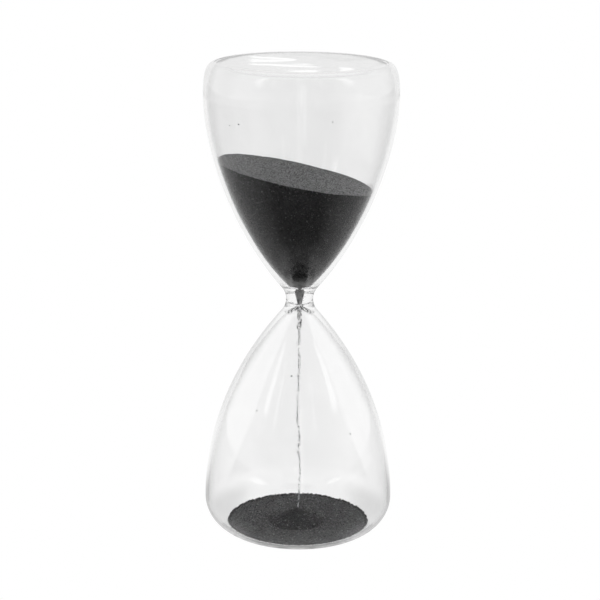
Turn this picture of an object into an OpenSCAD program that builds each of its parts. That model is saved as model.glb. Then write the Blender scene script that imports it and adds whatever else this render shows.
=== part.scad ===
// Free-standing blown-glass hourglass: two bulbs fused at a narrow neck, dark sand sealed inside.
// Millimetres, Z up, axis on Z, origin at the centre of the foot. The sand is caught early in its
// run: most of it is still in the upper bulb and a thin stream is falling.

/* [Overall] */
// height of the upper bulb, from the waist to the crown
upper_h = 79; // [55:0.5:110]
// height of the lower bulb, from the foot to the waist
lower_h = 81; // [55:0.5:110]
// largest outside diameter of the upper bulb
upper_d = 64; // [50:0.5:90]
// largest outside diameter of the lower bulb
lower_d = 63.5; // [50:0.5:90]

/* [Glass ends] */
// flat diameter of the crown
crown_flat_d = 55.2; // [30:0.2:70]
// height of the rounded edge of the crown
crown_edge_h = 10.9; // [6:0.1:20]
// flat diameter of the foot
foot_flat_d = 38; // [24:0.5:60]
// height of the rounded edge of the foot
foot_edge_h = 11.7; // [6:0.1:20]
// diameter of the hollow pressed into the middle of the foot
punt_d = 16; // [10:0.5:24]
// depth of that hollow
punt_depth = 0.5; // [0.2:0.1:1.2]
// diameter of the sealed filling hole
plug_d = 5; // [3:0.1:8]
// height of the bead's dome over each of its faces
plug_dome = 0.15; // [0.05:0.05:0.4]

/* [Glass walls] */
// wall of both bulbs
wall = 1.2; // [0.8:0.05:2.4]
// wall where each bulb draws in to the neck
neck_wall = 1.8; // [1.2:0.05:3]
// wall of the crown and of the foot
end_wall = 1.35; // [0.9:0.05:2.6]
// wall at the middle of the crown's rounded edge
crown_edge_wall = 1.8; // [1.2:0.05:3]
// wall at the middle of the foot's rounded edge
foot_edge_wall = 1; // [0.7:0.05:2.4]

/* [Neck] */
// outside diameter at the waist
neck_d = 9.1; // [7.4:0.1:14]
// radius of the outside curve through the waist
neck_curve_r = 6.1; // [4.5:0.1:10]
// angle that curve turns through on either side of the waist
neck_curve_a = 40.8; // [32:0.2:52]
// height of the weld on the outside
weld_h = 5.6; // [4:0.1:7]
// diameter at which the two tips meet inside the weld
weld_root_d = 3.8; // [3:0.1:5]
// bore of the orifice
orifice_d = 0.9; // [0.8:0.05:1.6]
// depth below the waist at which the orifice starts
orifice_drop = 1.6; // [0.8:0.1:2.2]
// length of the orifice
orifice_len = 0.8; // [0.4:0.1:1.6]
// diameter at the top of the throat
throat_d = 2.2; // [1.7:0.1:3.4]
// height of the throat's top above the waist
throat_h = 4.6; // [2.4:0.1:4.8]
// how far the upper bowl's floor runs out before it turns up to the wall, against its whole run
upper_bowl_run = 0.45; // [0.15:0.01:0.6]
// how far it has risen there, against its whole rise
upper_bowl_rise = 0.3; // [0.2:0.01:0.8]
// how far the lower bowl's roof runs out before it turns down to the wall, against its whole run
lower_bowl_run = 0.5; // [0.15:0.01:0.6]
// how far it has dropped there, against its whole drop
lower_bowl_rise = 0.5; // [0.2:0.01:0.8]

/* [Sand] */
// height of the upper sand above the waist, on the axis
sand_level = 41.9; // [20:0.1:55]
// slope of its surface down towards +X, degrees
sand_tilt_x = 11.4; // [-20:0.1:20]
// slope of its surface down towards +Y, degrees
sand_tilt_y = 1.5; // [-20:0.1:20]
// depth of the bed over the flat inside of the foot
bed_depth = 1; // [0.9:0.05:5]
// diameter of the mound on the bed
mound_d = 19.8; // [8:0.1:40]
// height of the mound
mound_h = 4.3; // [1:0.1:14]
// offset of the mound's tip towards -X
mound_shift = 0.5; // [0:0.1:1.5]
// diameter of the stream where it leaves the orifice
stream_d = 0.7; // [0.4:0.05:1.2]
// drop over which the falling stream thins, as it gains speed
stream_drop = 12; // [4:1:40]
// gap between sand and glass, and between one body of sand and the next
sand_gap = 0.1; // [0.05:0.01:0.2]

/* [Hidden] */
waist_z = lower_h;
bed_top = end_wall + bed_depth;
neck_c = neck_d / 2 + neck_curve_r;
weld_a = asin(weld_h / 2 / neck_curve_r);
neck_end = [neck_c - neck_curve_r * cos(neck_curve_a), neck_curve_r * sin(neck_curve_a)];
neck_dir = [sin(neck_curve_a), cos(neck_curve_a)];
flank_n = 28;
corner_n = 14;
bowl_n = 6;
turn_n = 144;

// a half: [height, widest radius, edge height, flat radius, lower pull, upper pull, squareness,
// wall at the middle of the edge, run and rise of the bowl's floor]
upper = [upper_h, upper_d / 2, crown_edge_h, crown_flat_d / 2, 0.372, 0.245, 0.746,
         crown_edge_wall, upper_bowl_run, upper_bowl_rise];
lower = [lower_h, lower_d / 2, foot_edge_h, foot_flat_d / 2, 0.433, 0.261, 0.549,
         foot_edge_wall, lower_bowl_run, lower_bowl_rise];

glass = [0.86, 0.9, 0.91, 0.35];
weld_glass = [0.78, 0.86, 0.88, 0.6];
sand = [0.2, 0.2, 0.21];
loose_sand = [0.3, 0.3, 0.31];

// ---- curves -------------------------------------------------------------------------------
function unit(v) = v / norm(v);
function at(b, t) = pow(1 - t, 3) * b[0] + 3 * t * pow(1 - t, 2) * b[1]
                  + 3 * t * t * (1 - t) * b[2] + pow(t, 3) * b[3];
function heading(b, t) = unit(pow(1 - t, 2) * (b[1] - b[0]) + 2 * t * (1 - t) * (b[2] - b[1])
                            + t * t * (b[3] - b[2]));
// the point of curve b at t, moved d to its inner side
function inside(b, t, d) = at(b, t) - d * [heading(b, t)[1], -heading(b, t)[0]];
function bend(p, q, r, t) = pow(1 - t, 2) * p + 2 * t * (1 - t) * q + t * t * r;

// ---- one half of the glass, measured outwards from the waist --------------------------------
function widest(s) = [s[1], s[0] - s[2]];
function reach(s) = norm(widest(s) - neck_end);
function flank(s) = [neck_end, neck_end + s[4] * reach(s) * neck_dir,
                     widest(s) - [0, s[5] * reach(s)], widest(s)];
function edge(s) = [widest(s), widest(s) + [0, s[6] * s[2]],
                    [s[3] + s[6] * (s[1] - s[3]), s[0]], [s[3], s[0]]];
function neck_arc(a) = [neck_c - neck_curve_r * cos(a), neck_curve_r * sin(a)];
function thick(t) = wall + (neck_wall - wall) * pow(1 - t, 9);
function edge_thick(t, middle) = wall + (end_wall - wall) * t
    + 4 * t * (1 - t) * (middle - (wall + end_wall) / 2);

function outer_line(s) = concat(
    [for (i = [0 : 3]) neck_arc(weld_a + (neck_curve_a - weld_a) * i / 4)],
    [for (i = [0 : flank_n]) at(flank(s), i / flank_n)],
    [for (i = [1 : corner_n]) at(edge(s), i / corner_n)]);

// the inside of the glass from its mouth to the flat end, drawn in by gap
function inner_line(s, mouth, gap) = concat(
    [for (i = [0 : bowl_n - 1]) let (e = inside(flank(s), 0, neck_wall + gap))
        bend(mouth, mouth + [s[8] * (e[0] - mouth[0]), s[9] * (e[1] - mouth[1])], e,
             i / bowl_n)],
    [for (i = [0 : flank_n]) inside(flank(s), i / flank_n, thick(i / flank_n) + gap)],
    [for (i = [1 : corner_n])
        inside(edge(s), i / corner_n, edge_thick(i / corner_n, s[7]) + gap)]);

function back(v) = [for (i = [len(v) - 1 : -1 : 0]) v[i]];
function up(v) = [for (p = v) [p[0], waist_z + p[1]]];
function down(v) = [for (p = v) [p[0], waist_z - p[1]]];

orifice_end = orifice_drop + orifice_len;
function throat_r(z) = orifice_d / 2
    + (throat_d - orifice_d) / 2 * (z + orifice_drop) / (throat_h + orifice_drop);
function punt(r) = r < punt_d / 2 ? punt_depth * (1 - pow(2 * r / punt_d, 2)) : 0;
function punt_line(r0, r1, z) = [for (i = [0 : 8]) let (r = r0 + (r1 - r0) * i / 8)
    [r, z + punt(r)]];
// the bead's face, from its rim to the axis, z above the rim, side 1 upwards or -1 downwards
function bead_line(z, side) = [for (i = [6 : -1 : 0])
    [plug_d / 2 * i / 6, punt(plug_d / 2) + z + side * plug_dome * (1 - pow(i / 6, 2))]];

module turned(points) rotate_extrude($fn = turn_n) polygon(points);

// ---- glass ----------------------------------------------------------------------------------
module upper_bulb() color(glass) turned(up(concat(
    [[weld_root_d / 2, 0]], outer_line(upper), [[0, upper[0]], [0, upper[0] - end_wall]],
    back(inner_line(upper, [throat_d / 2, throat_h], 0)), [[throat_r(0), 0]])));

module lower_bulb() color(glass) turned(concat(
    down(concat([[weld_root_d / 2, 0]], outer_line(lower))),
    punt_line(punt_d / 2, plug_d / 2, 0), punt_line(plug_d / 2, punt_d / 2, end_wall),
    down(concat(back(inner_line(lower, [orifice_d / 2, orifice_end], 0)),
                [[orifice_d / 2, orifice_drop], [throat_r(0), 0]]))));

module neck_weld() color(weld_glass) turned(concat(
    [[weld_root_d / 2, waist_z]],
    up([for (i = [-8 : 8]) neck_arc(weld_a * i / 8)])));

// a bead of glass melted into the filling hole, domed on both faces
module filling_plug() color(weld_glass)
    turned(concat(back(bead_line(0, -1)), bead_line(end_wall, 1)));

// ---- sand -----------------------------------------------------------------------------------
module upper_sand() color(sand) {
    top = upper[0] - crown_edge_h;
    fill = [for (p = inner_line(upper, [throat_d / 2 - sand_gap, throat_h], sand_gap))
        if (p[1] < top) p];
    difference() {
        turned(up(concat([[0, -orifice_drop], [orifice_d / 2 - sand_gap, -orifice_drop]],
                         fill, [[fill[len(fill) - 1][0], top], [0, top]])));
        translate([0, 0, waist_z + sand_level]) rotate([-sand_tilt_y, sand_tilt_x, 0])
            translate([-upper_d, -upper_d, 0]) cube([2 * upper_d, 2 * upper_d, upper_h]);
    }
}

stream_z = [bed_top + mound_h + sand_gap, waist_z - orifice_drop - sand_gap];
function stream_r(z) = stream_d / 2 * pow(1 + (stream_z[1] - z) / stream_drop, -0.25);
module falling_sand() color(loose_sand) turned(concat(
    [[0, stream_z[1]]],
    [for (i = [0 : 20]) let (z = stream_z[1] + (stream_z[0] - stream_z[1]) * pow(i / 20, 2))
        [stream_r(z), z]],
    [[0, stream_z[0]]]));

module sand_bed() color(sand) {
    base = end_wall + sand_gap;
    line = [for (p = down(inner_line(lower, [orifice_d / 2, orifice_end], sand_gap)))
        if (p[1] < waist_z / 2) p];
    rotate_extrude($fn = turn_n) intersection() {
        polygon(concat(line, punt_line(punt_d / 2, plug_d / 2, base), bead_line(base, 1),
                       [[0, line[0][1]]]));
        square([lower_d, bed_top]);
    }
}

// the heap under the stream, a cone with a softened tip and toe
module sand_mound() color(loose_sand) translate([-mound_shift, 0, bed_top + sand_gap])
    turned(concat([[0, 0]], [for (i = [16 : -1 : 0])
        [mound_d / 2 * i / 16, (mound_h - sand_gap) * (1 - pow(i / 16, 1.15))]]));

upper_bulb();
lower_bulb();
neck_weld();
filling_plug();
upper_sand();
falling_sand();
sand_bed();
sand_mound();
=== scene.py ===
"""A free-standing blown-glass hourglass with dark sand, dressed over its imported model.

Every length is in metres, Z is up and the axis of the glass is the Z axis. The glass is one fused
body: an outer skin, the skin of the sealed cavity, and the small bubbles caught in the weld. The
sand is four bodies, each with its own grains.
"""

import logging
import math
import random
from dataclasses import dataclass, field
from enum import Enum
from typing import Any, Callable, Optional, Sequence, Union

import bpy
from mathutils import Matrix, Vector

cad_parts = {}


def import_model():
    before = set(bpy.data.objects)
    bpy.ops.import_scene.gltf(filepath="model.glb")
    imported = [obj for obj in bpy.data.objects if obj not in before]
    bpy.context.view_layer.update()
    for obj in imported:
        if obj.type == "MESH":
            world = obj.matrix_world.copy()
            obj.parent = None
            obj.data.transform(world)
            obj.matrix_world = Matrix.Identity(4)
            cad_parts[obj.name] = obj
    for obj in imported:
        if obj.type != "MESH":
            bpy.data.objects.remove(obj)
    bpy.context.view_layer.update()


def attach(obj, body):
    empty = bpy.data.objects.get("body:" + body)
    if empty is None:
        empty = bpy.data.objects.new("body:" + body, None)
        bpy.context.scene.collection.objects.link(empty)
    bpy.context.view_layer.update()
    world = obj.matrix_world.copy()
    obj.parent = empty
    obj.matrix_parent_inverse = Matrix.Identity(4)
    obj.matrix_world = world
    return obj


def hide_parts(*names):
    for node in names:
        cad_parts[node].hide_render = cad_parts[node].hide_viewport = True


LOG = logging.getLogger("hourglass")
MM = 0.001
TEXTURE_ORIGIN = (3 * MM, 5 * MM, 7 * MM)
WELD_DISTANCE = 0.002 * MM
Point = tuple[float, float]
Value = Union[float, "Wire"]


# ---- profile curves ----
def mix(a: float, b: float, t: float) -> float:
    """Returns the value a share t of the way from a to b."""
    return a + (b - a) * t


def ease(low: float, high: float, x: float) -> float:
    """Returns 0 below low, 1 above high, and a smooth rise between."""
    t = min(max((x - low) / (high - low), 0.0), 1.0)
    return t * t * (3 - 2 * t)


@dataclass(frozen=True)
class Bow:
    """A cubic curve in the plane of the profile, from its four control points."""

    a: Point
    b: Point
    c: Point
    d: Point

    def at(self, t: float) -> Point:
        """Finds a point of the curve.

        Args:
            t: share of the way along, 0 to 1.

        Returns:
            The point.
        """
        w = ((1 - t) ** 3, 3 * t * (1 - t) ** 2, 3 * t * t * (1 - t), t**3)
        pts = (self.a, self.b, self.c, self.d)
        return (sum(k * p[0] for k, p in zip(w, pts)), sum(k * p[1] for k, p in zip(w, pts)))

    def heading(self, t: float) -> Point:
        """Finds the direction of travel.

        Args:
            t: share of the way along, 0 to 1.

        Returns:
            The direction, of length 1.
        """
        w = ((1 - t) ** 2, 2 * t * (1 - t), t * t)
        legs = ((self.a, self.b), (self.b, self.c), (self.c, self.d))
        x = sum(k * (q[0] - p[0]) for k, (p, q) in zip(w, legs))
        y = sum(k * (q[1] - p[1]) for k, (p, q) in zip(w, legs))
        size = math.hypot(x, y)
        return (x / size, y / size)

    def inside(self, t: float, depth: float) -> Point:
        """Returns the point at share t, moved by depth towards the axis side."""
        (x, y), (u, v) = self.at(t), self.heading(t)
        return (x - depth * v, y + depth * u)


@dataclass(frozen=True)
class Neck:
    """The waist, the weld and the bore between the bulbs, measured from the waist plane."""

    waist_radius: float = 4.55 * MM
    curve_radius: float = 6.1 * MM
    curve_angle: float = math.radians(40.8)
    bore_radius: float = 0.45 * MM
    bore_drop: float = 1.6 * MM
    bore_length: float = 0.8 * MM
    throat_radius: float = 1.1 * MM
    throat_height: float = 4.6 * MM

    def arc(self, angle: float) -> Point:
        """Returns the outside of the waist at an angle from its plane."""
        centre = self.waist_radius + self.curve_radius
        return (centre - self.curve_radius * math.cos(angle), self.curve_radius * math.sin(angle))


@dataclass(frozen=True)
class Bulb:
    """One blown half, measured outwards from the waist plane."""

    height: float
    radius: float
    edge_height: float
    flat_radius: float
    low_pull: float
    high_pull: float
    squareness: float
    edge_wall: float
    bowl_run: float
    bowl_rise: float
    neck: Neck = field(default_factory=Neck)
    wall: float = 1.2 * MM
    neck_wall: float = 1.8 * MM
    end_wall: float = 1.35 * MM
    taper: int = 9
    bowl_steps: int = 10

    def flank(self) -> Bow:
        """Shapes the long side, from the end of the waist's curve to the widest point.

        Returns:
            The curve.
        """
        start, angle = self.neck.arc(self.neck.curve_angle), self.neck.curve_angle
        wide = (self.radius, self.height - self.edge_height)
        reach = math.hypot(wide[0] - start[0], wide[1] - start[1])
        pull = (start[0] + self.low_pull * reach * math.sin(angle),
                start[1] + self.low_pull * reach * math.cos(angle))
        return Bow(start, pull, (wide[0], wide[1] - self.high_pull * reach), wide)

    def edge(self) -> Bow:
        """Shapes the rounded corner, from the widest point to the flat end.

        Returns:
            The curve.
        """
        rise = self.squareness * self.edge_height
        run = self.squareness * (self.radius - self.flat_radius)
        return Bow((self.radius, self.height - self.edge_height),
                   (self.radius, self.height - self.edge_height + rise),
                   (self.flat_radius + run, self.height), (self.flat_radius, self.height))

    def outer(self, steps: int = 64, turns: int = 24) -> list[Point]:
        """Lists the outside from the end of the waist's curve to the rim of the flat end.

        Args:
            steps: points along the flank.
            turns: points round the corner.

        Returns:
            The points in order.
        """
        flank, edge = self.flank(), self.edge()
        return [flank.at(i / steps) for i in range(steps + 1)] + [
            edge.at(i / turns) for i in range(1, turns + 1)]

    def inner(self, mouth: Point, gap: float = 0.0, steps: int = 64,
              turns: int = 24) -> list[Point]:
        """Lists the inside from its mouth to the rim of the flat end.

        Args:
            mouth: the point where the bowl meets the throat or the bore.
            gap: how far the line lies inside the glass, for sand that rests in it.
            steps: points along the flank.
            turns: points round the corner.

        Returns:
            The points in order.
        """
        flank, edge = self.flank(), self.edge()
        end = flank.inside(0, self.neck_wall + gap)
        knee = (mix(mouth[0], end[0], self.bowl_run), mix(mouth[1], end[1], self.bowl_rise))
        line = []
        for i in range(self.bowl_steps):
            t = i / self.bowl_steps
            k = ((1 - t) ** 2, 2 * t * (1 - t), t * t)
            line.append((k[0] * mouth[0] + k[1] * knee[0] + k[2] * end[0],
                         k[0] * mouth[1] + k[1] * knee[1] + k[2] * end[1]))
        for i in range(steps + 1):
            t = i / steps
            wall = mix(self.wall, self.neck_wall, (1 - t) ** self.taper)
            line.append(flank.inside(t, wall + gap))
        swell = self.edge_wall - (self.wall + self.end_wall) / 2
        for i in range(1, turns + 1):
            t = i / turns
            wall = mix(self.wall, self.end_wall, t) + 4 * t * (1 - t) * swell
            line.append(edge.inside(t, wall + gap))
        return line


@dataclass(frozen=True)
class Foot:
    """The hollow in the foot and the bead that seals the filling hole."""

    hollow_radius: float = 8.0 * MM
    hollow_depth: float = 0.5 * MM
    bead_radius: float = 2.5 * MM
    bead_dome: float = 0.15 * MM
    bead_steps: int = 6
    hollow_steps: int = 8

    def height(self, r: float) -> float:
        """Returns how far the hollow lies above the foot's plane at radius r."""
        inside = r < self.hollow_radius
        return self.hollow_depth * (1 - (r / self.hollow_radius) ** 2) if inside else 0.0

    def line(self, base: float, side: int) -> list[Point]:
        """Lists the middle of the foot from its axis to the hollow's rim.

        Args:
            base: height that the line is raised by.
            side: 1 where the bead swells upwards, -1 where it swells downwards.

        Returns:
            The points in order, outwards.
        """
        rim, n = self.height(self.bead_radius), self.bead_steps
        bead = [(self.bead_radius * i / n, base + rim + side * self.bead_dome * (1 - (i / n) ** 2))
                for i in range(n + 1)]
        hollow = [(r, base + self.height(r)) for r in
                  (mix(self.bead_radius, self.hollow_radius, i / self.hollow_steps)
                   for i in range(1, self.hollow_steps + 1))]
        return bead + hollow


# ---- modelling helpers ----
class Facing(Enum):
    """The way a closed skin's faces look."""

    OUTWARD = "outward"
    INWARD = "inward"


def clear_selection() -> None:
    """Deselects every object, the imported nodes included."""
    if bpy.context.object and bpy.context.object.mode != "OBJECT":
        bpy.ops.object.mode_set(mode="OBJECT")
    bpy.ops.object.select_all(action="DESELECT")


def edit_all() -> None:
    """Opens the active mesh with everything in it selected."""
    bpy.ops.object.mode_set(mode="EDIT")
    bpy.ops.mesh.select_all(action="SELECT")


def activate(*pieces: bpy.types.Object) -> bpy.types.Object:
    """Selects pieces alone and makes the first of them active.

    Args:
        pieces: the objects to select.

    Returns:
        The first piece.
    """
    clear_selection()
    for piece in pieces:
        piece.select_set(True)
    bpy.context.view_layer.objects.active = pieces[0]
    return pieces[0]


def lathe(name: str, line: Sequence[Point], steps: int = 160,
          facing: Facing = Facing.OUTWARD) -> bpy.types.Object:
    """Turns a profile that starts and ends on the axis into a closed skin.

    Args:
        name: name of the new object.
        line: radius and height of each point of the profile.
        steps: facets round the axis.
        facing: inward for the skin of a cavity, whose faces look at the axis.

    Returns:
        The new object, with its place in its mesh.
    """
    clear_selection()
    bpy.ops.mesh.primitive_plane_add(size=MM, location=(line[0][0], 0, line[0][1]))
    piece = bpy.context.object
    piece.name = piece.data.name = name
    bpy.ops.object.mode_set(mode="EDIT")
    bpy.ops.mesh.select_mode(type="VERT")
    bpy.ops.mesh.select_all(action="SELECT")
    bpy.ops.mesh.merge(type="CENTER")
    for (r0, z0), (r1, z1) in zip(line, line[1:]):
        bpy.ops.mesh.extrude_region_move(TRANSFORM_OT_translate={"value": (r1 - r0, 0, z1 - z0)})
    bpy.ops.mesh.select_all(action="SELECT")
    bpy.ops.mesh.spin(steps=steps, angle=2 * math.pi, center=(0, 0, 0), axis=(0, 0, 1))
    bpy.ops.mesh.select_all(action="SELECT")
    bpy.ops.mesh.remove_doubles(threshold=WELD_DISTANCE)
    bpy.ops.mesh.normals_make_consistent(inside=facing is Facing.INWARD)
    bpy.ops.object.mode_set(mode="OBJECT")
    bpy.ops.object.transform_apply(location=True, rotation=True, scale=True)
    bpy.ops.object.shade_smooth()
    return piece


def apply_modifier(piece: bpy.types.Object, kind: str, **settings: Any) -> None:
    """Adds a modifier, sets it and applies it.

    Args:
        piece: the object.
        kind: the modifier's type.
        settings: its properties.
    """
    activate(piece)
    mod = piece.modifiers.new(kind.lower(), kind)
    for key, value in settings.items():
        setattr(mod, key, value)
    bpy.ops.object.modifier_apply(modifier=mod.name)


def clouds(name: str, size: float, depth: int = 2) -> bpy.types.Texture:
    """Makes a cloud texture for displacement.

    Args:
        name: name of the new texture.
        size: size of its lumps.
        depth: how many finer sizes are laid over them.

    Returns:
        The texture.
    """
    tex = bpy.data.textures.new(name, "CLOUDS")
    tex.noise_scale, tex.noise_depth = size, depth
    return tex


def ripple(piece: bpy.types.Object, texture: bpy.types.Texture, strength: float, group: str = "",
           stretch: Sequence[float] = (1, 1, 1), direction: str = "NORMAL",
           level: float = 0.5) -> None:
    """Displaces a skin by a texture.

    Args:
        piece: the object.
        texture: the displacement texture.
        strength: full range of the movement.
        group: vertex group that limits it, or empty.
        stretch: how much longer the texture's lumps are along each axis.
        direction: axis or normal along which points move.
        level: the texture's value that leaves a point where it is.
    """
    clear_selection()
    bpy.ops.object.empty_add(location=TEXTURE_ORIGIN)
    empty = bpy.context.object
    empty.scale = stretch
    bpy.context.view_layer.update()
    apply_modifier(piece, "DISPLACE", texture=texture, strength=strength, mid_level=level,
                   texture_coords="OBJECT", texture_coords_object=empty, vertex_group=group,
                   direction=direction)
    bpy.data.objects.remove(empty)


def weigh(piece: bpy.types.Object, name: str, rule: Callable[[Vector], float]) -> str:
    """Makes a vertex group whose weights follow a rule.

    Args:
        piece: the object.
        name: name of the new group.
        rule: gives the weight at a position.

    Returns:
        The group's name.
    """
    group = piece.vertex_groups.new(name=name)
    for v in piece.data.vertices:
        group.add([v.index], rule(v.co), "REPLACE")
    return name


def join(name: str, pieces: Sequence[bpy.types.Object]) -> bpy.types.Object:
    """Joins pieces into one object.

    Args:
        name: name of the joined object.
        pieces: the objects, which are used up.

    Returns:
        The joined object.
    """
    whole = activate(*pieces)
    bpy.ops.object.join()
    whole.name = whole.data.name = name
    return whole


# ---- materials ----
@dataclass(frozen=True)
class Wire:
    """A node's output socket that can be used in arithmetic."""

    board: "Board"
    socket: bpy.types.NodeSocket

    def _math(self, operation: str, *values: Value) -> "Wire":
        """Adds a Math node on the given values."""
        inputs = dict(enumerate(values))
        return self.board.add("ShaderNodeMath", {"operation": operation}, inputs)[0]

    def __add__(self, other: Value) -> "Wire":
        """Returns self + other."""
        return self._math("ADD", self, other)

    def __sub__(self, other: Value) -> "Wire":
        """Returns self - other."""
        return self._math("SUBTRACT", self, other)

    def __rsub__(self, other: Value) -> "Wire":
        """Returns other - self."""
        return self._math("SUBTRACT", other, self)

    def __mul__(self, other: Value) -> "Wire":
        """Returns self * other."""
        return self._math("MULTIPLY", self, other)

    def angle(self, other: Value) -> "Wire":
        """Returns the bearing of (other, self), in radians."""
        return self._math("ARCTAN2", self, other)

    def root(self) -> "Wire":
        """Returns the square root."""
        return self._math("SQRT", self)

    def arcsine(self) -> "Wire":
        """Returns the angle whose sine this is."""
        return self._math("ARCSINE", self)

    def least(self, other: Value) -> "Wire":
        """Returns the smaller of the two."""
        return self._math("MINIMUM", self, other)

    def ramp(self, low: float, high: float, start: float = 0.0, end: float = 1.0) -> "Wire":
        """Adds a smooth change from one value to another.

        Args:
            low: where it begins.
            high: where it ends.
            start: the value below low.
            end: the value above high.

        Returns:
            The value.
        """
        made = self.board.add("ShaderNodeMapRange", {"interpolation_type": "SMOOTHSTEP"}, {
            "Value": self, "From Min": low, "From Max": high, "To Min": start, "To Max": end})
        return made["Result"]

    def sweep(self, low: float, high: float, start: float = 0.0, end: float = 1.0) -> "Wire":
        """Returns a ramp on an angle, with its limits in degrees."""
        return self.ramp(math.radians(low), math.radians(high), start, end)

    __radd__, __rmul__ = __add__, __mul__


class Board:
    """A node tree that is built from calls."""

    def __init__(self, tree: bpy.types.NodeTree) -> None:
        """Empties the tree."""
        self.tree = tree
        tree.nodes.clear()

    def add(self, kind: str, settings: Optional[dict[str, Any]] = None,
            inputs: Optional[dict[Any, Any]] = None) -> "Outputs":
        """Adds a node.

        Args:
            kind: the node's type.
            settings: its properties, set before its sockets.
            inputs: values or wires by socket name or index.

        Returns:
            The node's outputs.
        """
        node = self.tree.nodes.new(kind)
        for key, value in (settings or {}).items():
            setattr(node, key, value)
        for key, value in (inputs or {}).items():
            if isinstance(value, Wire):
                self.tree.links.new(value.socket, node.inputs[key])
            else:
                node.inputs[key].default_value = value
        return Outputs(self, node)

    def noise(self, place: "Wire", scale: float, detail: float) -> "Wire":
        """Returns noise at a place, of a scale and a number of finer sizes."""
        return self.add("ShaderNodeTexNoise", None, {
            "Vector": place, "Scale": scale, "Detail": detail})[0]


@dataclass(frozen=True)
class Outputs:
    """The outputs of a node, by name or index."""

    board: Board
    node: bpy.types.Node

    def __getitem__(self, key: Union[str, int]) -> Wire:
        """Returns one output as a wire."""
        return Wire(self.board, self.node.outputs[key])


def new_material(name: str) -> tuple[bpy.types.Material, Board]:
    """Makes a material with an empty node tree.

    Args:
        name: name of the new material.

    Returns:
        The material and its board.
    """
    material = bpy.data.materials.new(name)
    material.use_nodes = True
    return material, Board(material.node_tree)


def grey(tone: float, blue: float = 1.0) -> tuple[float, float, float, float]:
    """Returns a grey whose blue is scaled by a factor."""
    return (tone, tone, tone * blue, 1)


def dress(piece: bpy.types.Object, material: bpy.types.Material) -> bpy.types.Object:
    """Gives a piece one material in place of any that it has.

    Args:
        piece: the object.
        material: its new material.

    Returns:
        The piece.
    """
    piece.data.materials.clear()
    piece.data.materials.append(material)
    return piece


@dataclass(frozen=True)
class BlownGlass:
    """Clear fire-polished glass: faint draw lines, a breath of dust, a darker upper bulb, and
    painted shade.
    """

    name: str = "blown_glass"
    index: float = 1.5
    clear: float = 0.995
    # tone of the dust film, also used to darken the upper bulb and as painted shade on its left
    dust_and_shade_tone: float = 0.934
    # tone of the painted shade where the wall is seen at a low angle
    rim: float = 0.38
    waist: float = 81 * MM
    line_scale: tuple[float, float, float] = (90, 90, 22)
    film_scale: float = 140.0
    line_depth: float = 0.4 * MM

    def build(self) -> bpy.types.Material:
        """Builds the material: a dusty film, and painted shade where the wall is seen at a low
        angle.

        Returns:
            The material.
        """
        material, board = new_material(self.name)
        place = board.add("ShaderNodeTexCoord")["Object"]
        wide = board.add("ShaderNodeMapping", None, {"Vector": place, "Scale": self.line_scale})[0]
        draw = board.noise(wide, 1.0, 0.0)
        film = board.noise(place, self.film_scale, 4.0)
        axes = board.add("ShaderNodeSeparateXYZ", None, {0: place})
        rise = axes[2]
        # the upper bulb is tinted darker than the lower one
        above = rise.ramp(self.waist, self.waist + 30 * MM)
        # painted shade: the left side of the upper bulb's top and crown is darkened
        aside = axes[0].ramp(-32 * MM, -6 * MM, 0.35, 0.0) * rise.ramp(105 * MM, 145 * MM)
        dust_and_shade = (film * 0.6 + draw * 0.4).ramp(0.3, 0.7) * 0.35 + above * 0.65 + aside
        film_colour = board.add("ShaderNodeMix", {"data_type": "RGBA", "clamp_factor": False}, {
            "Factor": dust_and_shade, 6: grey(self.clear), 7: grey(self.dust_and_shade_tone)})[2]
        # painted shade: the wall darkens where it is seen at a low angle, on the lower bulb's upper
        # flank and, weaker, on the upper bulb
        facing = board.add("ShaderNodeLayerWeight", None, {"Blend": 0.5})["Facing"]
        painted_edge_shade = facing.ramp(0.5, 0.88) * (
            rise.ramp(22 * MM, 55 * MM) - rise.ramp(self.waist, self.waist + 14 * MM) * 0.6)
        colour = board.add("ShaderNodeMix", {"data_type": "RGBA", "blend_type": "MULTIPLY"}, {
            "Factor": painted_edge_shade, 6: film_colour, 7: grey(self.rim)})[2]
        bump = board.add("ShaderNodeBump", None, {
            "Strength": 0.06, "Distance": self.line_depth, "Height": draw})
        shader = board.add("ShaderNodeBsdfPrincipled", None, {
            "Base Color": colour, "Roughness": 0.0, "IOR": self.index,
            "Transmission Weight": 1.0, "Normal": bump[0]})
        board.add("ShaderNodeOutputMaterial", None, {"Surface": shader[0]})
        return material


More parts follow.
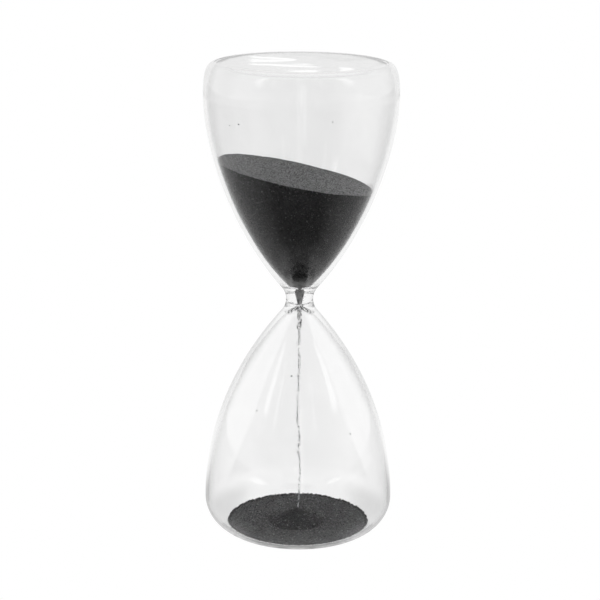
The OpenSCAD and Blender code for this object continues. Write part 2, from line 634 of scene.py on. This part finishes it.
@dataclass(frozen=True)
class DarkSand:
    """Dark mineral sand: near-black grains, some grey, a few painted glints, with a dull sheen at a
    low angle.
    """

    name: str
    dark: float = 0.016
    light: float = 0.070
    # colour of the painted glints on a few grains
    painted_glint: float = 0.13
    sheen: float = 0.2
    grain: float = 0.33 * MM
    # height below which the sand is lightened as painted light, 0 for none
    painted_light_height: float = 0.0
    fade: float = 5 * MM
    # the pale grey of that painted light
    loose: float = 0.55
    drift_scale: float = 260.0
    crumb_scale: float = 1150.0

    def build(self) -> bpy.types.Material:
        """Builds the material. Below a given height the colour fades to a pale grey, as painted
        light on the sand round the throat.

        Returns:
            The material.
        """
        material, board = new_material(self.name)
        place = board.add("ShaderNodeTexCoord")["Object"]
        cells = board.add("ShaderNodeTexVoronoi", {"feature": "F1"}, {
            "Vector": place, "Scale": 1 / self.grain, "Randomness": 1.0})
        tone = board.add("ShaderNodeSeparateColor", None, {"Color": cells["Color"]})
        drift = board.noise(place, self.drift_scale, 3.0)
        crumb = board.noise(place, self.crumb_scale, 1.0)
        pale = (tone[0].ramp(0.2, 1.0) * 0.45 + drift.ramp(0.35, 0.7) * 0.2
                + crumb.ramp(0.38, 0.66) * 0.4)
        # painted highlights: a few grains are coloured bright as glints
        painted_glint_mask = tone[1].ramp(0.95, 0.99)
        body = board.add("ShaderNodeMix", {"data_type": "RGBA"}, {
            "Factor": pale, 6: grey(self.dark, 1.03), 7: grey(self.light, 1.02)})[2]
        colour = board.add("ShaderNodeMix", {"data_type": "RGBA"}, {
            "Factor": painted_glint_mask, 6: body, 7: grey(self.painted_glint)})[2]
        # painted light: the sand fades to pale grey below the set height
        if self.painted_light_height:
            rise = board.add("ShaderNodeSeparateXYZ", None, {0: place})[2]
            colour = board.add("ShaderNodeMix", {"data_type": "RGBA"}, {
                "Factor": rise.ramp(self.painted_light_height - self.fade, self.painted_light_height, 1.0, 0.0),
                6: colour, 7: grey(self.loose)})[2]
        bump = board.add("ShaderNodeBump", None, {
            "Strength": 0.9, "Distance": self.grain * 0.7, "Height": 1 - cells["Distance"]})
        shader = board.add("ShaderNodeBsdfPrincipled", None, {
            "Base Color": colour, "Roughness": tone[2].ramp(0.0, 1.0, 0.42, 0.8), "IOR": 1.52,
            "Specular IOR Level": self.sheen, "Normal": bump[0]})
        board.add("ShaderNodeOutputMaterial", None, {"Surface": shader[0]})
        return material


# ---- the glass ----
@dataclass(frozen=True)
class Bubble:
    """A small bubble in the weld: its bearing in degrees, and millimetres from the waist."""

    turn: float
    radius: float
    rise: float
    size: float


BUBBLES = (
    Bubble(20, 2.9, 1.1, 0.22), Bubble(160, 2.8, 1.3, 0.16), Bubble(172, 3.2, -0.7, 0.15),
    Bubble(200, 3.6, -2.0, 0.22), Bubble(335, 3.5, -2.1, 0.16), Bubble(250, 3.1, 0.4, 0.12),
    Bubble(75, 3.0, -1.2, 0.14), Bubble(110, 3.3, 1.6, 0.12))


@dataclass
class GlassBody:
    """Both bulbs, the weld between them and the sealed filling hole, fused into one wall."""

    upper: Bulb
    lower: Bulb
    foot: Foot = field(default_factory=Foot)
    neck: Neck = field(default_factory=Neck)
    finish: BlownGlass = field(default_factory=BlownGlass)
    waist_steps: int = 16
    flat_steps: int = 4
    crown_steps: int = 10

    @property
    def waist(self) -> float:
        """Returns the height of the waist."""
        return self.lower.height

    def flat(self, height: float) -> list[Point]:
        """Lists the flat ring of the foot round its hollow, outwards.

        Args:
            height: the ring's height.

        Returns:
            The points between its rims.
        """
        return [(mix(self.foot.hollow_radius, self.lower.flat_radius, i / self.flat_steps), height)
                for i in range(1, self.flat_steps)]

    def crown(self, height: float) -> list[Point]:
        """Lists the flat crown from its rim to the axis.

        Args:
            height: the crown's height.

        Returns:
            The points past its rim.
        """
        return [(self.upper.flat_radius * (1 - i / self.crown_steps), height)
                for i in range(1, self.crown_steps + 1)]

    def outside(self) -> bpy.types.Object:
        """Builds the outer skin.

        Returns:
            The skin, which looks outwards.
        """
        below = [(r, self.waist - z) for r, z in self.lower.outer()]
        above = [(r, self.waist + z) for r, z in self.upper.outer()]
        waist = []
        for i in range(1 - self.waist_steps, self.waist_steps):
            r, z = self.neck.arc(self.neck.curve_angle * i / self.waist_steps)
            waist.append((r, self.waist + z))
        top = self.waist + self.upper.height
        line = (self.foot.line(0.0, -1) + self.flat(0.0) + below[::-1] + waist + above
                + self.crown(top))
        skin = lathe("outer_skin", line)
        crown_zone = weigh(skin, "crown", lambda p: ease(top - 1.5 * MM, top, p.z))
        ripple(skin, clouds("crown_swell", 16 * MM, 0), 0.03 * MM, crown_zone, direction="Z",
               level=1.0)
        return skin

    def cavity(self) -> bpy.types.Object:
        """Builds the skin of the sealed cavity.

        Returns:
            The skin, which looks inwards.
        """
        bore_end = (self.neck.bore_radius, self.neck.bore_drop + self.neck.bore_length)
        mouth = (self.neck.throat_radius, self.neck.throat_height)
        below = [(r, self.waist - z) for r, z in self.lower.inner(bore_end)]
        above = [(r, self.waist + z) for r, z in self.upper.inner(mouth)]
        bore = [(self.neck.bore_radius, self.waist - self.neck.bore_drop)]
        bore += [(mix(self.neck.bore_radius, self.neck.throat_radius, t),
                  self.waist + mix(-self.neck.bore_drop, self.neck.throat_height, t))
                 for t in (0.25, 0.5, 0.75)]
        top = self.waist + self.upper.height
        line = (self.foot.line(self.lower.end_wall, 1) + self.flat(self.lower.end_wall)
                + below[::-1] + bore + above + self.crown(top - self.upper.end_wall))
        skin = lathe("cavity_skin", line, facing=Facing.INWARD)
        low = weigh(skin, "lower_flank", lambda p: ease(8 * MM, 20 * MM, self.waist - p.z)
                    * ease(12 * MM, 22 * MM, p.z))
        high = weigh(skin, "upper_flank", lambda p: ease(8 * MM, 20 * MM, p.z - self.waist)
                     * ease(14 * MM, 24 * MM, top - p.z))
        drawn = (1, 1, 5)
        ripple(skin, clouds("lower_draw_lines", 8 * MM, 1), 0.13 * MM, low, drawn)
        ripple(skin, clouds("upper_draw_lines", 10 * MM, 1), 0.05 * MM, high, drawn)
        return skin

    def bubbles(self) -> list[bpy.types.Object]:
        """Builds the small bubbles caught in the weld, as hollows in the glass.

        Returns:
            The bubbles, which look inwards.
        """
        dice = random.Random(11)
        made = []
        for spot in BUBBLES:
            clear_selection()
            angle = math.radians(spot.turn - 90 + dice.uniform(-6, 6))
            bpy.ops.mesh.primitive_ico_sphere_add(subdivisions=3, radius=spot.size * MM, location=(
                spot.radius * MM * math.cos(angle), spot.radius * MM * math.sin(angle),
                self.waist + spot.rise * MM))
            bubble = bpy.context.object
            edit_all()
            bpy.ops.transform.resize(value=(1, 1, dice.uniform(1.0, 1.6)))
            bpy.ops.mesh.flip_normals()
            bpy.ops.object.mode_set(mode="OBJECT")
            bpy.ops.object.transform_apply(location=True, rotation=True, scale=True)
            bpy.ops.object.shade_smooth()
            made.append(bubble)
        return made

    def build(self) -> bpy.types.Object:
        """Builds and dresses the whole body of glass."""
        piece = join("glass_body", [self.outside(), self.cavity(), *self.bubbles()])
        return dress(piece, self.finish.build())


# ---- the sand ----
@dataclass
class Scatter:
    """Loose grains laid over a surface."""

    density: float
    size: float = 0.36 * MM
    seed: int = 1
    smallest: float = 0.6
    largest: float = 1.25
    spin: float = 6.28

    def grain(self) -> bpy.types.Object:
        """Models one grain of size 1.

        Returns:
            The grain.
        """
        clear_selection()
        bpy.ops.mesh.primitive_ico_sphere_add(subdivisions=1, radius=0.5)
        grain = bpy.context.object
        grain.name = "grain"
        edit_all()
        bpy.ops.transform.resize(value=(1.15, 0.9, 0.8))
        bpy.ops.transform.vertex_random(offset=0.06, seed=3)
        bpy.ops.object.mode_set(mode="OBJECT")
        return grain

    def over(self, ground: bpy.types.Object, lift: float = 0.0) -> bpy.types.Object:
        """Lays grains, as real meshes, over a ground object, which is used up.

        Args:
            ground: the surface that carries the grains.
            lift: height added to each grain.

        Returns:
            The grains as one object.
        """
        grain = self.grain()
        tree = bpy.data.node_groups.new("scatter", "GeometryNodeTree")
        for way in ("INPUT", "OUTPUT"):
            tree.interface.new_socket("Geometry", in_out=way, socket_type="NodeSocketGeometry")
        board = Board(tree)
        source = board.add("NodeGroupInput")[0]
        spread = board.add("GeometryNodeDistributePointsOnFaces", None, {
            "Mesh": source, "Density": self.density, "Seed": self.seed})
        turn = board.add("FunctionNodeRandomValue", {"data_type": "FLOAT_VECTOR"}, {
            1: (self.spin, self.spin, self.spin), "Seed": self.seed + 1})[0]
        size = board.add("FunctionNodeRandomValue", {"data_type": "FLOAT"}, {
            2: self.size * self.smallest, 3: self.size * self.largest, "Seed": self.seed + 2})[1]
        shape = board.add("GeometryNodeObjectInfo", None, {"Object": grain})["Geometry"]
        placed = board.add("GeometryNodeInstanceOnPoints", None, {
            "Points": spread[0], "Instance": shape, "Rotation": turn, "Scale": size})[0]
        real = board.add("GeometryNodeRealizeInstances", None, {"Geometry": placed})[0]
        raised = board.add("GeometryNodeTransform", None, {
            "Geometry": real, "Translation": (0, 0, lift)})[0]
        board.add("NodeGroupOutput", None, {0: raised})
        apply_modifier(ground, "NODES", node_group=tree)
        bpy.data.objects.remove(grain)
        return ground


def copy_part(piece: bpy.types.Object, keep: Callable[[Vector, Vector], bool]) -> bpy.types.Object:
    """Copies some faces of a piece.

    Args:
        piece: the object.
        keep: says from a face's centre and normal whether it is copied.

    Returns:
        The copy.
    """
    activate(piece)
    bpy.ops.object.duplicate()
    part = bpy.context.object
    bpy.context.tool_settings.mesh_select_mode = (False, False, True)
    for poly in part.data.polygons:
        poly.select = not keep(poly.center, poly.normal)
    bpy.ops.object.mode_set(mode="EDIT")
    bpy.ops.mesh.delete(type="FACE")
    bpy.ops.object.mode_set(mode="OBJECT")
    return part


@dataclass(frozen=True)
class Stray:
    """A stray grain that clings to the glass, in millimetres from the middle of the waist."""

    x: float
    y: float
    z: float
    size: float
    seed: int

    def build(self, waist: float) -> bpy.types.Object:
        """Models the grain.

        Args:
            waist: the height of the waist.

        Returns:
            The grain.
        """
        clear_selection()
        size = self.size * MM
        place = Vector((self.x, self.y, self.z)) * MM + Vector((0, 0, waist))
        bpy.ops.mesh.primitive_ico_sphere_add(subdivisions=2, radius=size / 2, location=place)
        grain = bpy.context.object
        edit_all()
        bpy.ops.transform.resize(value=(1.2, 0.8, 0.9))
        bpy.ops.transform.vertex_random(offset=size * 0.08, seed=self.seed)
        bpy.ops.object.mode_set(mode="OBJECT")
        bpy.ops.object.transform_apply(location=True, rotation=True, scale=True)
        return grain


HIGH_STRAYS = (Stray(-19.2, -23.4, 62.4, 0.42, 1), Stray(-22.0, -20.8, 61.6, 0.26, 2),
               Stray(11.0, 28.0, 55.0, 0.4, 3))
LOW_STRAYS = (Stray(-2.4, -14.3, -22.8, 0.5, 4), Stray(16.9, -16.6, -41.9, 0.4, 5),
              Stray(-15.0, 17.0, -45.0, 0.4, 6))


@dataclass
class UpperSand:
    """The sand that is still to run, with its sloping top."""

    glass: GlassBody
    level: float = 41.9 * MM
    slope_x: float = math.radians(11.4)
    slope_y: float = math.radians(1.5)
    gap: float = 0.16 * MM
    touch: float = 0.03 * MM
    last_ring: float = 0.001
    throat_steps: int = 8
    turns: int = 256
    rings: int = 44
    # the sand round the throat, below 92 mm, is lightened as painted light
    finish: DarkSand = field(default_factory=lambda: DarkSand(
        "dark_sand", light=0.066, painted_glint=0.17, painted_light_height=92 * MM))

    def up(self) -> Vector:
        """Returns the normal of the sloping top."""
        turn = Matrix.Rotation(self.slope_x, 3, "Y") @ Matrix.Rotation(-self.slope_y, 3, "X")
        return turn @ Vector((0, 0, 1))

    def build(self) -> bpy.types.Object:
        """Builds and dresses the upper sand.

        Returns:
            The sand with its loose grains.
        """
        neck, waist = self.glass.neck, self.glass.waist
        bulb = self.glass.upper
        centre, up = Vector((0, 0, waist + self.level)), self.up()
        mouth = (neck.throat_radius, neck.throat_height)
        side = [p for p in bulb.inner(mouth, self.gap) if p[1] < bulb.height - bulb.edge_height]
        throat = [(mix(neck.bore_radius, neck.throat_radius, t) + self.touch,
                   mix(-neck.bore_drop, neck.throat_height, t))
                  for t in (k / self.throat_steps for k in range(self.throat_steps + 1))]
        line = [(0.0, -neck.bore_drop)] + throat + side[1:] + [(0.0, side[-1][1])]
        piece = lathe("upper_sand_body", [(r, waist + z) for r, z in line], self.turns)
        edit_all()
        bpy.ops.mesh.bisect(plane_co=centre, plane_no=up, use_fill=False, clear_outer=True)
        bpy.ops.mesh.select_mode(type="EDGE")
        for k in range(self.rings, 0, -1):
            bpy.ops.mesh.extrude_edges_move()
            scale = (k - 1) / k if k > 1 else self.last_ring
            bpy.ops.transform.resize(value=(scale, scale, scale), center_override=centre)
        bpy.ops.mesh.select_all(action="SELECT")
        bpy.ops.mesh.remove_doubles(threshold=0.02 * MM)
        bpy.ops.mesh.normals_make_consistent(inside=False)
        bpy.ops.object.mode_set(mode="OBJECT")

        def depth(p: Vector) -> float:
            """Returns how far a point lies under the sloping top."""
            return (centre - p).dot(up)

        top = weigh(piece, "top", lambda p: 1 - ease(0.02 * MM, 0.3 * MM, depth(p)))
        ripple(piece, clouds("drifts", 9 * MM, 2), 0.45 * MM, top, direction="Z")
        ripple(piece, clouds("crumbs", 1.1 * MM, 1), 0.09 * MM, top, direction="Z")
        activate(piece)
        bpy.ops.object.shade_smooth_by_angle(angle=math.radians(40))
        loose = copy_part(piece, lambda c, n: depth(c) < 0.5 * MM and n.dot(up) > 0.7)
        grains = Scatter(1.5e6, 0.28 * MM, seed=5).over(loose)
        strays = [stray.build(waist) for stray in HIGH_STRAYS]
        piece = join("upper_sand_body", [piece, grains, *strays])
        return dress(piece, self.finish.build())


@dataclass
class Mound:
    """The heap under the stream."""

    top: float
    radius: float = 9.9 * MM
    height: float = 4.3 * MM
    shift: float = 0.5 * MM
    gap: float = 0.1 * MM
    slump: float = 1.15
    steps: int = 16
    turns: int = 96
    # painted shade: the mound's sand is a darker copy of the same sand, darker still than the bed
    finish: DarkSand = field(default_factory=lambda: DarkSand(
        "mound_sand", dark=0.004, light=0.016, painted_glint=0.10, sheen=0.12))

    def build(self) -> bpy.types.Object:
        """Builds and dresses the mound.

        Returns:
            The mound with its loose grains.
        """
        base = self.top + self.gap
        line = [(0.0, base)] + [
            (self.radius * k / self.steps, base + (self.height - self.gap)
             * (1 - (k / self.steps) ** self.slump)) for k in range(self.steps, -1, -1)]
        piece = lathe("mound", line, self.turns)
        edit_all()
        bpy.ops.transform.translate(value=(-self.shift, 0, 0))
        bpy.ops.object.mode_set(mode="OBJECT")
        apply_modifier(piece, "REMESH", mode="VOXEL", voxel_size=0.25 * MM, use_smooth_shade=True)
        ripple(piece, clouds("mound_grains", 0.8 * MM, 1), 0.16 * MM)
        loose = copy_part(piece, lambda c, n: n.z > 0.3)
        grains = Scatter(1.6e6, seed=21).over(loose)
        piece = join("mound", [piece, grains])
        return dress(piece, self.finish.build())


@dataclass
class Bed:
    """The thin layer of sand over the foot."""

    glass: GlassBody
    depth: float = 1.0 * MM
    gap: float = 0.1 * MM
    edge_band: float = 0.9 * MM
    edge_lift: float = 0.08 * MM
    steps: int = 48
    turns: int = 256
    # painted shade: the bed's sand is a darker copy of the same sand, offsetting the strong light
    # from above
    finish: DarkSand = field(default_factory=lambda: DarkSand(
        "bed_sand", dark=0.007, light=0.033, painted_glint=0.14, sheen=0.08))

    @property
    def top(self) -> float:
        """Returns the height of the layer's surface."""
        return self.glass.lower.end_wall + self.depth

    def build(self) -> bpy.types.Object:
        """Builds and dresses the bed.

        Returns:
            The bed with its loose grains and its ragged rim.
        """
        lower, neck, waist = self.glass.lower, self.glass.neck, self.glass.waist
        mouth = (neck.bore_radius, neck.bore_drop + neck.bore_length)
        side = [(r, waist - z) for r, z in lower.inner(mouth, self.gap, turns=60)]
        rim = [p for p in side if p[1] < self.top]
        under = self.glass.foot.line(lower.end_wall + self.gap, 1)
        reach = rim[0][0]
        line = under + rim[::-1] + [
            (reach * (1 - k / self.steps), self.top) for k in range(1, self.steps + 1)]
        piece = lathe("sand_layer", line, self.turns)
        upper = weigh(piece, "upper",
                      lambda p: ease(self.top - 0.1 * MM, self.top - 0.02 * MM, p.z))
        ripple(piece, clouds("bed_drifts", 6 * MM, 2), 0.16 * MM, upper, direction="Z")
        ripple(piece, clouds("bed_crumbs", 1.1 * MM, 1), 0.16 * MM, upper, direction="Z")
        activate(piece)
        bpy.ops.object.shade_smooth_by_angle(angle=math.radians(40))
        loose = copy_part(piece, lambda c, n: n.z > 0.6)
        edge = copy_part(loose, lambda c, n: math.hypot(c.x, c.y) > reach - self.edge_band)
        grains = Scatter(1.4e6, seed=31).over(loose)
        ragged = Scatter(2.6e6, 0.75 * MM, seed=37).over(edge, self.edge_lift)
        strays = [stray.build(waist) for stray in LOW_STRAYS]
        piece = join("sand_layer", [piece, grains, ragged, *strays])
        return dress(piece, self.finish.build())


@dataclass
class Stream:
    """The falling sand: a clump of grains under the orifice, drawn out into two thin strands."""

    high: float
    low: float
    clump: float = 9 * MM
    steps: int = 300
    turns: int = 10
    # painted light: the falling grains are coloured far paler than the rest of the sand, standing
    # in for light between the grains
    finish: DarkSand = field(default_factory=lambda: DarkSand(
        "stream_sand", dark=0.12, light=0.45, painted_glint=0.6))

    def strand(self, name: str, width: Callable[[float], float], sway: float, seed: int,
               aside: float = 0.0) -> bpy.types.Object:
        """Builds the husk of one wavering strand, which the grains are laid over.

        Args:
            name: name of the strand.
            width: its radius at a distance below the orifice.
            sway: how far it wanders off the axis.
            seed: picks the wander.
            aside: how far it hangs towards +X once it is clear of the clump.

        Returns:
            The strand.
        """
        n, drop = self.steps, self.high - self.low
        line = [(0.0, self.low)]
        line += [(width(drop * (1 - i / n)), mix(self.low, self.high, i / n)) for i in range(n + 1)]
        line.append((0.0, self.high))
        piece = lathe(name, line, self.turns)
        free = weigh(piece, "free", lambda p: ease(2 * MM, self.clump * 1.5, self.high - p.z)
                     * ease(0.0, 6 * MM, p.z - self.low))
        dice = random.Random(seed)
        for axis, shift in (("X", aside), ("Y", 0.0)):
            ripple(piece, clouds(f"{name}_waver_{axis}", 11 * MM, 1), sway, free, direction=axis,
                   stretch=(1, 1, dice.uniform(0.9, 1.3)), level=0.5 - shift / sway)
            ripple(piece, clouds(f"{name}_kink_{axis}", 2.4 * MM, 1), sway * 0.3, free,
                   direction=axis)
        return piece

    def build(self) -> bpy.types.Object:
        """Builds and dresses the stream: a clump, a main strand, a faint one and loose grains.

        Returns:
            The stream, all of loose grains.
        """
        end, sway, seed = self.clump, 1.5 * MM, 3
        shell = self.strand("shell", lambda d: mix(0.72, 0.10, ease(0.9 * end, 1.1 * end, d)) * MM
                            * ease(-0.6 * MM, 0.6 * MM, d), sway, seed)
        heart = self.strand(
            "heart", lambda d: mix(0.36, 0.13, ease(0.6 * end, end, d)) * MM, sway, seed)
        faint = self.strand("faint", lambda d: 0.15 * MM, 1.1 * MM, 8, aside=0.42 * MM)
        halo = self.strand("halo", lambda d: mix(0.3, 0.55, ease(0, end, d)) * MM, sway, seed)
        spans = self.spans(random.Random(5))
        dense = copy_part(heart, lambda c, n: any(a < c.z < b for a, b in spans))
        parts = [Scatter(density, size * MM, number).over(husk) for density, size, number, husk in (
            (2.6e6, 0.42, 41, shell), (3.8e6, 0.24, 42, heart), (1.2e7, 0.25, 45, dense),
            (3.6e6, 0.22, 43, faint), (0.5e6, 0.26, 44, halo))]
        return dress(join("sand_stream", parts), self.finish.build())

    def spans(self, dice: random.Random) -> list[tuple[float, float]]:
        """Picks the heights between which the main strand runs dense.

        Args:
            dice: the source of the random lengths.

        Returns:
            The lower and upper end of each span, from the clump down.
        """
        spans, z = [], self.high - self.clump
        while z > self.low:
            length = dice.uniform(1.0, 6.5) * MM
            spans.append((z - length, z))
            z -= length + dice.uniform(0.6, 3.5) * MM
        return spans


# ---- the studio ----
@dataclass(frozen=True)
class Panel:
    """A soft-edged patch between two bearings and two heights, in degrees, and its brightness."""

    left: float
    right: float
    soft: float
    level: float
    low: float = 0.0
    high: float = 0.0

    def mask(self, angle: Wire, start: float, end: float) -> Wire:
        """Returns a mask with soft edges between two angles."""
        return angle.sweep(start - self.soft, start + self.soft) * angle.sweep(
            end - self.soft, end + self.soft, 1.0, 0.0)

    def along(self, bearing: Wire) -> Wire:
        """Returns its mask on a bearing."""
        return self.mask(bearing, self.left, self.right)

    def up(self, rise: Wire) -> Wire:
        """Returns its mask on a height."""
        return self.mask(rise, self.low, self.high)


WALL_PANELS = (
    Panel(-60, -52, 2, 1.3, 22, 50), Panel(-38, -35, 1, 0.7, 20, 46), Panel(58, 70, 3, 1.2, 22, 52),
    Panel(24, 27, 1, 0.6, 20, 44), Panel(-1, 6, 1, 0.5, -25, 30))
FLOOR_PANELS = (Panel(50, 105, 6, 0.35), Panel(2, 6, 1, 0.5), Panel(-62, -14, 2, 0.10))
FRONT = Panel(-42, 42, 16, 0.36)
CROWN_STRIP = Panel(0, 0, 0.1, 0.4, 7.2, 7.5)


@dataclass
class Studio:
    """A pale floor, a soft bright room, and the camera."""

    aim: Vector
    distance: float = 0.5934
    elevation: float = math.radians(14.82)
    lens: float = 106.5
    lean: float = math.radians(0.51)
    right: float = 0.13 * MM
    down: float = 0.53 * MM

    def floor(self) -> bpy.types.Object:
        """Builds the pale floor, which looks darker in reflections and through the glass.

        Returns:
            The floor.
        """
        clear_selection()
        bpy.ops.mesh.primitive_plane_add(size=3.0, location=(0, 0, 0))
        floor = bpy.context.object
        floor.name = "floor"
        material, board = new_material("pale_floor")
        path = board.add("ShaderNodeLightPath")
        place = board.add("ShaderNodeTexCoord")["Object"]
        radius = board.add("ShaderNodeVectorMath", {"operation": "LENGTH"}, {0: place})["Value"]
        mirrored = path["Glossy Depth"].least(1.0)
        through = path["Transmission Depth"].least(1.0)
        lit = path["Diffuse Depth"].least(1.0)
        spots = board.add("ShaderNodeSeparateXYZ", None, {0: place})
        beside = (spots[0] * spots[0]).root()
        away = beside.angle(spots[1])
        bearing = spots[0].angle(spots[1] * -1.0)
        # in reflections the floor is pale behind the glass, darker beside it and in front
        far = away.sweep(32, 62, 1.0, 0.28) * away.sweep(95, 150, 1.0, 0.14)
        panels = sum(panel.along(bearing) * panel.level for panel in FLOOR_PANELS)
        far = far + panels * radius.ramp(240 * MM, 300 * MM)
        near = radius.ramp(20 * MM, 75 * MM, 1.0, 0.0)
        seen = far + near * (0.62 - FRONT.along(bearing) * FRONT.level - far)
        # reflections inside the wall see a paler floor behind
        seen = seen + through * (1 - seen) * away.sweep(50, 100, 0.42, 0.08)
        # straight through the foot's corners it looks shaded
        flanks = beside.ramp(14 * MM, 25 * MM) * radius.ramp(32 * MM, 52 * MM, 0.24, 0.0)
        shadow = through * (1 - mirrored) * flanks
        tone = (1 - mirrored * (1 - seen)) * (1 - lit * 0.85) * (1 - shadow)
        paper = board.add("ShaderNodeEmission", None, {"Color": (1, 1, 1, 1), "Strength": tone})
        board.add("ShaderNodeOutputMaterial", None, {"Surface": paper[0]})
        floor.data.materials.append(material)
        return floor

    def room(self) -> None:
        """Lights the room: white straight through the glass, soft panels in its reflections."""
        world = bpy.data.worlds.new("room")
        bpy.context.scene.world = world
        world.use_nodes = True
        board = Board(world.node_tree)
        path = board.add("ShaderNodeLightPath")
        way = board.add("ShaderNodeTexCoord")["Generated"]
        axes = board.add("ShaderNodeSeparateXYZ", None, {0: way})
        side = axes[0].angle(axes[1] * -1.0)
        rise = axes[2].arcsine()
        mirrored = path["Glossy Depth"].least(1.0)
        lit = path["Diffuse Depth"].least(1.0) * (1 - mirrored)
        straight = (1 - mirrored) * (1 - lit)
        front = axes[1].ramp(-0.95, -0.2, 1.0, 0.0)
        seen = 0.93 - front * 0.6
        for panel in WALL_PANELS:
            seen = seen + panel.along(side) * panel.up(rise) * panel.level
        strip = CROWN_STRIP.up(rise - axes[0] * 0.15) * axes[1].ramp(0.5, 0.7)
        spans = (axes[0].ramp(-0.032, -0.026) * axes[0].ramp(0.006, 0.012, 1.0, 0.0)
                 + axes[0].ramp(0.020, 0.022) * axes[0].ramp(0.027, 0.030, 1.0, 0.0))
        seen = seen + strip * spans * CROWN_STRIP.level
        glow = rise.ramp(0.45, 1.1, 0.07, 8.0)
        light = board.add("ShaderNodeBackground", None, {
            "Color": (1, 1, 1, 1), "Strength": straight + seen * mirrored + glow * lit})
        board.add("ShaderNodeOutputWorld", None, {"Surface": light[0]})
        world.cycles.sampling_method = "NONE"

    def camera(self) -> None:
        """Places the camera."""
        data = bpy.data.cameras.new("camera")
        data.lens, data.sensor_width, data.clip_start = self.lens, 36.0, 0.01
        camera = bpy.data.objects.new("camera", data)
        bpy.context.scene.collection.objects.link(camera)
        look = Vector((0, math.cos(self.elevation), -math.sin(self.elevation)))
        turn = look.to_track_quat("-Z", "Y").to_matrix() @ Matrix.Rotation(self.lean, 3, "Z")
        right, up = turn.col[0], turn.col[1]
        target = self.aim + right * self.right - up * self.down
        camera.matrix_world = Matrix.Translation(target - look * self.distance) @ turn.to_4x4()
        bpy.context.scene.camera = camera

    def build(self) -> None:
        """Builds the studio."""
        self.floor()
        self.room()
        self.camera()
        scene = bpy.context.scene
        scene.view_settings.view_transform = "Standard"
        scene.cycles.max_bounces = 80
        scene.cycles.transmission_bounces = 60
        scene.cycles.glossy_bounces = 60
        scene.cycles.blur_glossy = 0.0


def main() -> None:
    """Builds every piece in order, then the studio."""
    logging.basicConfig(level=logging.INFO, format="%(message)s")
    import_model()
    glass = GlassBody(
        upper=Bulb(
            height=79 * MM, radius=32 * MM, edge_height=10.9 * MM, flat_radius=27.6 * MM,
            low_pull=0.372, high_pull=0.245, squareness=0.746, edge_wall=1.8 * MM,
            bowl_run=0.45, bowl_rise=0.3),
        lower=Bulb(
            height=81 * MM, radius=31.75 * MM, edge_height=11.7 * MM, flat_radius=19 * MM,
            low_pull=0.433, high_pull=0.261, squareness=0.549, edge_wall=1.0 * MM,
            bowl_run=0.5, bowl_rise=0.5))
    bed = Bed(glass)
    mound = Mound(bed.top)
    stream = Stream(high=glass.waist - glass.neck.bore_drop - bed.gap,
                    low=bed.top + mound.height + mound.gap)
    plan = ((glass, "glass", ("upper_bulb", "lower_bulb", "neck_weld", "filling_plug")),
            (UpperSand(glass), "sand", ("upper_sand",)), (stream, "sand", ("falling_sand",)),
            (bed, "sand", ("sand_bed",)), (mound, "sand", ("sand_mound",)))
    for maker, slot, nodes in plan:
        piece = maker.build()
        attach(piece, "root")
        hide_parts(*nodes)
        LOG.info("%s: %d faces, for %s", piece.name, len(piece.data.polygons), ", ".join(nodes))
    Studio(Vector((0, 0, glass.waist))).build()


if __name__ == "__main__":
    main()
